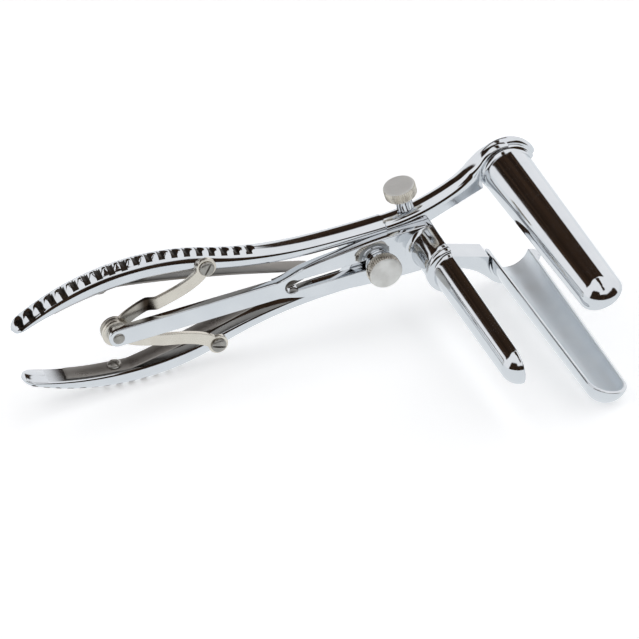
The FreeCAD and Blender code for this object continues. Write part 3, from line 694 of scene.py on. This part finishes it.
def slottedHead(form, angle):
    stub, foot, bevel, shoulder, fullness, past = 2.0, 0.2, 0.25, 0.15, 0.9, 1
    crownSteps, columns = 10, 64
    radius, height, crown, shank = (form[k] for k in ("radius", "height", "crown", "shank"))
    profile = [(0.0, -stub), (shank, -stub), (shank, 0.0), (radius - bevel, 0.0), (radius, foot),
               (radius, height - crown - bevel)]
    for i in range(crownSteps + 1):
        turn = math.pi / 2 * i / crownSteps
        wide = (radius - shoulder) * math.cos(turn) ** fullness
        profile.append((wide, height - crown + crown * math.sin(turn)))
    half = form["slotWidth"] / 2
    slot = boxMesh((-radius - past, -half, height - form["slotDepth"]), (radius + past, half, height + past))
    verts, faces = carve(lathe(profile, columns), slot)
    turn = cmath.rect(1, math.radians(angle))
    turned = [(complex(x, y) * turn, z) for x, y, z in verts]
    return [(spot.real, spot.imag, z) for spot, z in turned], faces


headVerts, headFaces = slottedHead(springScrew, springScrew["angle"])
seat = innerEdgeAt(springScrew["reach"], leaf["seatRise"]) - 1j * (leaf["thick"] + springScrew["lift"])
placed = standOn(headVerts, (seat.real, -lever["thick"] / 2, seat.imag), springScrew["along"])
makePiece("upperSpringScrew", placed, headFaces, screwSteel, "upper_lever", ["upper_spring_screw"])
makePiece("lowerSpringScrew", mirrorUp(placed), headFaces, screwSteel, "lower_lever", ["lower_spring_screw"])
for name, way in (("upper", 1), ("lower", -1)):
    headVerts, headFaces = slottedHead(linkScrew, linkScrew[name + "Angle"])
    pivot = (-linkScrew["reach"], linkScrew["seat"], way * linkScrew["rise"])
    placed = standOn(headVerts, pivot, (0, -1, 0))
    makePiece(name + "LinkScrew", placed, headFaces, screwSteel, name + "_lever", [name + "_link_screw"])
print("screws made")

# links: dog-leg straps with a bend behind the bar
link = {
    "pivot": (-64.8, 17.8), "rear": (-101.8, 0.0), "width": 4.9, "thick": 1.7, "edge": 0.22, "face": -9.6,
    "eye": 3.8, "rearEye": 5.3, "eyeOverlap": 0.05, "hole": 1.5, "play": 3.2,
    "kinkAt": 0.25, "kink": 1.6, "bowAt": 0.67, "bow": -1.3, "lengthSteps": 26, "eyeSteps": 40,
    "holeSteps": 32, "playSteps": 40,
    "bendStart": -84.7, "bendEnd": -89.2, "bendSteps": 8, "upperStep": 2.5, "lowerStep": 0.7,
}


# how far the strap's middle lies beside its chord, on a curve through both eyes, the kink and the bow
def strapOffset(form, share):
    marks = ((0.0, 0.0), (form["kinkAt"], form["kink"]), (form["bowAt"], form["bow"]), (1.0, 0.0))
    offset = 0.0
    for place, value in marks:
        for other in (mark[0] for mark in marks if mark[0] != place):
            value *= (share - other) / (place - other)
        offset += value
    return offset


def strapOutline(form, pivot, rear):
    chord = rear - pivot
    beside = chord / abs(chord) * 1j

    def middle(share):
        return pivot + chord * share + beside * strapOffset(form, share)

    edges = {1: [], -1: []}
    nearby = 0.01
    for i in range(form["lengthSteps"] + 1):
        share = i / form["lengthSteps"]
        ahead = middle(share + nearby) - middle(share - nearby)
        square = ahead / abs(ahead) * 1j
        for way in (1, -1):
            point = middle(share) + square * form["width"] / 2 * way
            clearOfPivot = abs(point - pivot) >= form["eye"] - form["eyeOverlap"]
            if clearOfPivot and abs(point - rear) >= form["rearEye"] - form["eyeOverlap"]:
                edges[way].append(point)

    def roundEye(centre, radius, start, end):
        first, last = cmath.phase(start - centre), cmath.phase(end - centre)
        sweep = -((first - last) % (2 * math.pi))
        steps = form["eyeSteps"]
        return [centre + cmath.rect(radius, first + sweep * k / steps) for k in range(steps + 1)]

    border = edges[1] + roundEye(rear, form["rearEye"], edges[1][-1], edges[-1][-1])
    border += edges[-1][::-1] + roundEye(pivot, form["eye"], edges[-1][0], edges[1][0])
    return [(p.real, p.imag) for p in border]


def linkMesh(form, step):
    pivot, rear = complex(*form["pivot"]), complex(*form["rear"])
    holes = [circle(*form["pivot"], form["hole"], form["holeSteps"]),
             circle(*form["rear"], form["play"], form["playSteps"])]
    outline = strapOutline(form, pivot, rear)
    verts, faces = flatPlate([outline] + holes, form["face"], form["face"] - form["thick"], form["edge"])
    start, end, count = form["bendStart"], form["bendEnd"], form["bendSteps"]
    verts, faces = sliceMesh(verts, faces, [start - (start - end) * i / count for i in range(count + 1)])
    return [(x, y + step * smoothStep(-x, -start, -end), z) for x, y, z in verts], faces


linkVerts, linkFaces = linkMesh(link, link["upperStep"])
makePiece("upperLinkStrap", linkVerts, linkFaces, nickelWithPaintedShade, "upper_link", ["upper_link"])
linkVerts, linkFaces = linkMesh(link, link["lowerStep"])
makePiece("lowerLinkStrap", mirrorUp(linkVerts), linkFaces, nickel, "lower_link", ["lower_link"])
print("links made")

# central arm: plate with its slot, a thinner bar behind and an arched neck in front
arm = {
    "back": -9.6, "front": -13.7, "barBack": -10.7, "edge": 0.35, "rear": -101.8, "barHalf": 3.6,
    "rivetHole": 1.25, "notch": -41.0, "cutPast": 10, "cutHalf": 20, "cutBehind": 5,
    "slotHalf": 2.1, "slotRear": -34.1, "slotEnd": 2.9, "slotMouth": 46.4, "plateFront": 20.0,
    "plateHalf": 9.7, "edgeSteps": 14, "endSteps": 30, "slotSteps": 34, "holeSteps": 24,
    # upper edge from the bar through the flare: reach, rise and slope
    "edgeMarks": [(-41.0, 3.6, 0.0), (-29.0, 6.45, 0.18), (-17.0, 7.9, 0.09), (0.0, 9.3, 0.045),
                  (20.0, 9.7, 0.0)],
    # neck: depth, outer radius, and the fillet's growth where it leaves the plate
    "neckX": 22.7, "neckIn": 6.15, "neckRim": 0.5,
    "neck": [(-9.7, 9.7, 0.0), (-13.65, 9.7, 0.0), (-13.72, 9.7, 2.3), (-13.9, 9.7, 1.5), (-14.3, 9.7, 0.8),
             (-14.9, 9.65, 0.3), (-15.7, 9.6, 0.05), (-18.0, 9.5, 0.0), (-22.0, 9.45, 0.0), (-26.0, 9.4, 0.0),
             (-28.0, 9.3, 0.0), (-28.7, 9.1, 0.0), (-29.0, 8.8, 0.0)],
}


def armMesh(form):
    edge = []
    for (a, low, slope), (b, high, nextSlope) in zip(form["edgeMarks"], form["edgeMarks"][1:]):
        for i in range(form["edgeSteps"]):
            u = i / form["edgeSteps"]
            edge.append((a + (b - a) * u, cubicHeight(u, b - a, low, slope, high, nextSlope)))
    inside = math.degrees(math.acos((form["neckX"] - form["plateFront"]) / form["neckIn"]))
    crescent = circle(form["neckX"], 0, form["neckIn"], form["endSteps"], 180 - inside, 2 * inside)
    corner = (form["plateFront"], form["plateHalf"])
    rounded = circle(form["rear"], 0, form["barHalf"], form["endSteps"], 270, -180)
    border = edge + [corner] + crescent + [(corner[0], -corner[1])]
    border += [(x, -z) for x, z in reversed(edge)] + rounded
    mouth = form["slotMouth"]
    slot = circle(form["slotRear"], 0, form["slotEnd"], form["slotSteps"], mouth, 360 - 2 * mouth)
    slot += circle(0, 0, form["slotHalf"], form["holeSteps"], -90, 180)
    rivetHole = circle(form["rear"], 0, form["rivetHole"], form["holeSteps"])
    plate = flatPlate([border, slot, rivetHole], form["back"], form["front"], form["edge"])
    behindBar = boxMesh((form["rear"] - form["cutPast"], form["barBack"], -form["cutHalf"]),
                        (form["notch"], form["back"] + form["cutBehind"], form["cutHalf"]))
    return carve(plate, behindBar)


# the neck and the central blade are drawn on end, with their ridge towards the handles
def turnToHandles(verts):
    return [(arm["neckX"] - up, y, across) for across, up, y in verts]


neckVerts, neckFaces = archMesh(arm["neck"], arm["neckIn"], arm["neckRim"])
makePiece("centralArmPlate", *merge(armMesh(arm), (turnToHandles(neckVerts), neckFaces)), chrome,
          "central_arm", ["central_arm"])

# blades: stations of depth, outer and inner radius round the collar or hood, then a plain taper to the nose
centralForm = {
    "stations": [(-29.0, 9.3, 6.15), (-29.15, 9.8, 6.15), (-29.5, 10.0, 6.15), (-30.6, 10.0, 6.15),
                 (-31.3, 9.85, 6.15), (-31.7, 9.5, 6.15), (-31.95, 9.0, 6.15), (-32.05, 8.4, 6.14),
                 (-32.4, 8.0, 6.13), (-33.2, 7.8, 6.12)],
    "end": -94.1, "tipRadius": 6.9, "wall": 1.6, "rim": 0.5,
}
shellVerts, shellFaces = troughMesh(centralForm)
makePiece("centralBladeTrough", turnToHandles(shellVerts), shellFaces, chrome, "central_arm",
          ["central_blade"])
print("central arm made")

hoodRoll = {"middle": -5.65, "depth": 2.15, "radius": 11.0, "height": 2.2, "inner": 8.3,
            "turns": range(10, 179, 8)}
bladeForm = {
    "stations": [(hoodRoll["middle"] + hoodRoll["depth"] * math.cos(math.radians(turn)),
                  hoodRoll["radius"] + hoodRoll["height"] * math.sin(math.radians(turn)), hoodRoll["inner"])
                 for turn in hoodRoll["turns"]]
    + [(-7.9, 10.95, 8.3), (-8.0, 11.15, 8.3), (-8.25, 11.38, 8.3), (-8.6, 11.44, 8.3), (-9.0, 11.36, 8.3),
       (-9.3, 11.1, 8.3), (-9.5, 10.7, 8.3), (-9.7, 10.3, 8.28), (-10.1, 10.05, 8.28), (-11.0, 9.9, 8.25)],
    "tubeStart": -11, "end": -93.6, "startRadius": 9.86, "tipRadius": 8.1, "wall": 1.6, "rim": 0.55,
    "hollowShare": 0.62, "hollowFront": -3.7, "hoodBlend": (8, 50), "hoodKeep": 0.12,
}


# whether a point of an outer blade, in millimetres, is on its hollow side
def inHollow(centre, side):
    form = bladeForm
    share = min(1, max(0, (form["tubeStart"] - centre.y) / (form["tubeStart"] - form["end"])))
    radius = form["startRadius"] * (1 - share) + form["tipRadius"] * share
    past = max(0, form["end"] - centre.y)
    away = math.hypot(centre.x - hoodCentre.real, centre.z - side * hoodCentre.imag, past)
    return away < radius - form["wall"] * form["hollowShare"] and centre.y < form["hollowFront"]


# the hood stands full on the far side and fades into the arm on the near side
def placeBlade(form, verts):
    placed = []
    for u, w, y in verts:
        reach = math.hypot(u, w)
        if reach > form["startRadius"] and y > form["tubeStart"]:
            full = smoothStep(math.degrees(math.atan2(w, -u)), *form["hoodBlend"])
            grown = (reach - form["startRadius"]) * (form["hoodKeep"] + (1 - form["hoodKeep"]) * full)
            keep = (form["startRadius"] + grown) / reach
            u, w = u * keep, w * keep
        spot = bladeAxis(lever["bladeReach"] + u, w)
        placed.append((spot.real, y, spot.imag))
    return placed


shellVerts, shellFaces = troughMesh(bladeForm)
bladeVerts = placeBlade(bladeForm, shellVerts)
makePiece("upperBladeTrough", bladeVerts, shellFaces, chrome, "upper_lever", ["upper_blade"],
          [(satinChrome, lambda c: inHollow(c, 1))])
makePiece("lowerBladeTrough", mirrorUp(bladeVerts), shellFaces, chrome, "lower_lever", ["lower_blade"],
          [(satinChrome, lambda c: inHollow(c, -1))])
print("blades made")

# hinge stud, washers and rivet: profiles of radius and height
turnedParts = {
    "hingeStud": [(0.0, -0.02), (3.6, -0.02), (3.78, -0.12), (2.0, -1.9), (2.0, -19.5), (1.8, -19.7),
                  (0.0, -19.7)],
    "clampWasher": [(2.05, 0.0), (5.15, 0.0), (5.3, -0.12), (5.3, -0.48), (5.15, -0.6), (2.05, -0.6),
                    (2.05, 0.0)],
    "linkRivet": [(0.0, -14.45), (1.0, -14.42), (1.7, -14.3), (2.1, -14.05), (2.2, -13.8), (2.2, -13.7),
                  (1.2, -13.7), (1.2, -6.2), (2.2, -6.2), (2.2, -5.9), (1.8, -5.45), (0.0, -5.4)],
    "rivetWasher": [(1.2, -6.2), (5.05, -6.2), (5.2, -6.32), (5.2, -6.88), (5.05, -7.0), (1.2, -7.0),
                    (1.2, -6.2)],
}
for name, columns, hollow, reach, seat, finish, body, node in (
        ("hingeStud", 64, False, 0, 0, chrome, "hinge_core", "hinge_stud"),
        ("clampWasher", 64, True, 0, -13.8, chrome, "hinge_core", "clamp_washer"),
        ("linkRivet", 48, False, arm["rear"], 0, screwSteel, "central_arm", "link_rivet"),
        # the rivet washer wears the strap's material, so it is darkened brown with the same painted shade
        ("rivetWasher", 64, True, arm["rear"], 0, nickelWithPaintedShade, "central_arm", "rivet_washer")):
    verts, faces = lathe(turnedParts[name], columns, hollow)
    makePiece(name, layAt(verts, reach, seat), faces, finish, body, [node])
print("hinge and rivet made")

# thumb screws: turned, dished on the face and straight-knurled round the grip
knurl = {"ridges": 46, "depth": 0.42, "pointsPerRidge": 5}
nut = {
    "seat": -14.5, "grip": (3.3, 7.0), "ring": (3.2, 7.1), "foot": 2.85,
    "profile": [(2.05, 0.0), (4.6, 0.0), (4.78, 0.12), (4.72, 1.4), (4.6, 2.4), (4.9, 2.85), (5.6, 3.0),
                (6.05, 3.02), (6.35, 3.15), (6.6, 3.5), (6.6, 5.2), (6.6, 6.9), (6.35, 7.22), (6.0, 7.36),
                (5.4, 7.4), (4.0, 7.36), (0.05, 7.3)],
}
sideScrew = {
    "origin": (15.4607, -4.75, 13.5649), "along": (-0.15901, 0, 0.98728),
    "grip": (7.1, 11.0), "ring": (6.7, 11.1), "foot": 6.6,
    "profile": [(1.75, -3.5), (1.75, 0.55), (2.9, 0.6), (3.18, 0.8), (3.2, 3.0), (3.15, 5.6), (3.5, 6.4),
                (4.3, 6.78), (5.5, 6.84), (5.9, 6.95), (6.2, 7.3), (6.2, 9.2), (6.2, 10.9), (5.95, 11.2),
                (5.6, 11.36), (5.2, 11.4), (4.0, 11.36), (0.05, 11.3)],
}


# a turned profile whose points on the grip carry rounded ridges
def knurledMesh(form):
    columns = knurl["ridges"] * knurl["pointsPerRidge"]
    low, high = form["grip"]
    verts = []
    for radius, z in form["profile"]:
        for i in range(columns):
            angle = 2 * math.pi * i / columns
            ridge = 0.5 - 0.5 * math.cos(angle * knurl["ridges"])
            inset = knurl["depth"] * ridge if low <= z <= high else 0.0
            verts.append(((radius - inset) * math.cos(angle), (radius - inset) * math.sin(angle), z))
    return verts, gridFaces(len(form["profile"]), columns)


def knobPaint(form, height):
    low, high = form["ring"]
    return [(nickel, lambda c: low < height(c) < high), (chrome, lambda c: height(c) < form["foot"])]


verts, faces = knurledMesh(nut)
makePiece("clampThumbNut", layAt(verts, 0, nut["seat"], -1), faces, knobNickel, "clamp_nut", ["clamp_nut"],
          knobPaint(nut, lambda c: nut["seat"] - c.y))
sideOrigin, sideAlong = Vector(sideScrew["origin"]), Vector(sideScrew["along"])
verts, faces = knurledMesh(sideScrew)
makePiece("sideThumbScrew", standOn(verts, sideOrigin, sideAlong), faces, knobNickel, "side_screw",
          ["side_screw"], knobPaint(sideScrew, lambda c: (c - sideOrigin).dot(sideAlong)))
print("thumb screws made")

# studio: a white room whose dark gaps between the lamps show in the chrome, and a sheet of paper;
# each gap is a few ranges of the ray's direction: axis, low, high and soft margin
studio = {
    "white": "#F8F9FB", "whiteLevel": 1.05, "dark": "#4A382B", "deep": "#1C1511", "darkLevel": 0.75,
    "swirl": 0.22, "swirlScale": 3.5, "cloudScale": 9.0,
    "gaps": [
        [("y", 0.5, 1.2, 0.08), ("z", 0.42, 0.72, 0.06), ("x", -0.8, 0.4, 0.06)],
        [("y", -1.2, -0.35, 0.1), ("z", -0.2, 0.46, 0.07)],
        [("y", -0.6, 0.55, 0.1), ("z", 0.7, 1.2, 0.05), ("x", -0.06, 0.1, 0.03)],
        [("y", -1.2, -0.22, 0.06), ("z", -0.2, 0.68, 0.06), ("x", -1.2, -0.4, 0.06)],
    ],
    "floorTiltY": 2.303, "floorTiltX": -3.687, "floorHalf": 3.0, "paper": "#FFFFFF", "paperGlow": 0.36,
    "paperReflect": "#F1F5F8", "fibreSize": 3, "fibreDepth": 0.02,
}


def litColour(text, level):
    return [c * level for c in linearColour(text)[:3]] + [1.0]


# one inside a range of a value, falling to zero over a soft margin
def band(tree, value, low, high, soft):
    rise = addNode(tree, "ShaderNodeMapRange", {"interpolation_type": "SMOOTHSTEP"}, {
        "Value": value, "From Min": low - soft, "From Max": low, "To Min": 0.0, "To Max": 1.0})
    fall = addNode(tree, "ShaderNodeMapRange", {"interpolation_type": "SMOOTHSTEP"}, {
        "Value": value, "From Min": high, "From Max": high + soft, "To Min": 1.0, "To Max": 0.0})
    both = addNode(tree, "ShaderNodeMath", {"operation": "MULTIPLY"}, {
        0: rise.outputs[0], 1: fall.outputs[0]})
    return both.outputs[0]


# the camera itself sees plain white
def makeWorld(look):
    world = bpy.data.worlds.new("studioLight")
    bpy.context.scene.world = world
    tree = emptyTree(world)
    ray = addNode(tree, "ShaderNodeTexCoord").outputs["Generated"]
    swirl = addNode(tree, "ShaderNodeTexNoise", inputs={
        "Vector": ray, "Scale": look["swirlScale"], "Detail": 2.0})
    away = addNode(tree, "ShaderNodeVectorMath", {"operation": "SUBTRACT"}, {
        0: swirl.outputs["Color"], 1: (0.5, 0.5, 0.5)})
    small = addNode(tree, "ShaderNodeVectorMath", {"operation": "SCALE"}, {
        0: away.outputs[0], "Scale": look["swirl"]})
    bent = addNode(tree, "ShaderNodeVectorMath", {"operation": "ADD"}, {0: ray, 1: small.outputs[0]})
    split = addNode(tree, "ShaderNodeSeparateXYZ", inputs={"Vector": bent.outputs[0]})
    direction = {"x": split.outputs[0], "y": split.outputs[1], "z": split.outputs[2]}
    shade = 0.0
    for gap in look["gaps"]:
        inside = 1.0
        for axis, low, high, soft in gap:
            inside = addNode(tree, "ShaderNodeMath", {"operation": "MULTIPLY"}, {
                0: inside, 1: band(tree, direction[axis], low, high, soft)}).outputs[0]
        shade = addNode(tree, "ShaderNodeMath", {"operation": "MAXIMUM"}, {0: shade, 1: inside}).outputs[0]
    cloud = addNode(tree, "ShaderNodeTexNoise", inputs={
        "Vector": ray, "Scale": look["cloudScale"], "Detail": 4.0, "Roughness": 0.65})
    spread = addNode(tree, "ShaderNodeMapRange", inputs={"Value": cloud.outputs[0], **noiseMiddle})
    gapColour = addNode(tree, "ShaderNodeMix", {"data_type": "RGBA"}, {
        0: spread.outputs[0], 6: litColour(look["deep"], look["darkLevel"]),
        7: litColour(look["dark"], look["darkLevel"])})
    room = addNode(tree, "ShaderNodeMix", {"data_type": "RGBA"}, {
        0: shade, 6: litColour(look["white"], look["whiteLevel"]), 7: gapColour.outputs[2]})
    lit = addNode(tree, "ShaderNodeBackground", inputs={"Color": room.outputs[2], "Strength": 1.0})
    plain = addNode(tree, "ShaderNodeBackground", inputs={"Color": (1, 1, 1, 1), "Strength": 1.0})
    path = addNode(tree, "ShaderNodeLightPath")
    mix = addNode(tree, "ShaderNodeMixShader", inputs={
        0: path.outputs["Is Camera Ray"], 1: lit.outputs[0], 2: plain.outputs[0]})
    addNode(tree, "ShaderNodeOutputWorld", inputs={"Surface": mix.outputs[0]})


# matt paper that glows a little and mirrors in the chrome as plain white
def paperMaterial(look):
    material = bpy.data.materials.new("paperSweepMatt")
    tree = emptyTree(material)
    place = addNode(tree, "ShaderNodeTexCoord").outputs["Object"]
    fibre = addNode(tree, "ShaderNodeTexNoise", inputs={
        "Vector": place, "Scale": 1 / (look["fibreSize"] * mm), "Detail": 3.0})
    grain = addNode(tree, "ShaderNodeBump", inputs={
        "Height": fibre.outputs[0], "Distance": look["fibreDepth"] * mm, "Strength": 1.0})
    paper = addNode(tree, "ShaderNodeBsdfDiffuse", inputs={
        "Color": linearColour(look["paper"]), "Normal": grain.outputs[0]})
    glow = addNode(tree, "ShaderNodeEmission", inputs={"Color": (1, 1, 1, 1), "Strength": look["paperGlow"]})
    both = addNode(tree, "ShaderNodeAddShader", inputs={0: paper.outputs[0], 1: glow.outputs[0]})
    mirror = addNode(tree, "ShaderNodeEmission", inputs={
        "Color": linearColour(look["paperReflect"]), "Strength": 1.0})
    path = addNode(tree, "ShaderNodeLightPath")
    mix = addNode(tree, "ShaderNodeMixShader", inputs={
        0: path.outputs["Is Glossy Ray"], 1: both.outputs[0], 2: mirror.outputs[0]})
    addNode(tree, "ShaderNodeOutputMaterial", inputs={"Surface": mix.outputs[0]})
    return material


# the floor is tilted so that the part rests on it at three points: lower bow, lower hood and blade tip
def makeFloor(look):
    half = look["floorHalf"]
    mesh = bpy.data.meshes.new("floor")
    corners = [(-half, -half, 0), (half, -half, 0), (half, half, 0), (-half, half, 0)]
    mesh.from_pydata(corners, [], [(0, 1, 2, 3)])
    floor = addObject("floor", mesh)
    tilt = (Matrix.Rotation(math.radians(look["floorTiltY"]), 4, "Y")
            @ Matrix.Rotation(math.radians(look["floorTiltX"]), 4, "X"))
    normal = tilt.to_3x3() @ Vector((0, 0, 1))
    low = min(normal.dot(v.co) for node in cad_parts.values() for v in node.data.vertices)
    floor.matrix_world = Matrix.Translation(normal * low) @ tilt
    mesh.materials.append(paperMaterial(look))


makeWorld(studio)
makeFloor(studio)
print("studio made")

bpy.context.scene.view_settings.view_transform = "Standard"
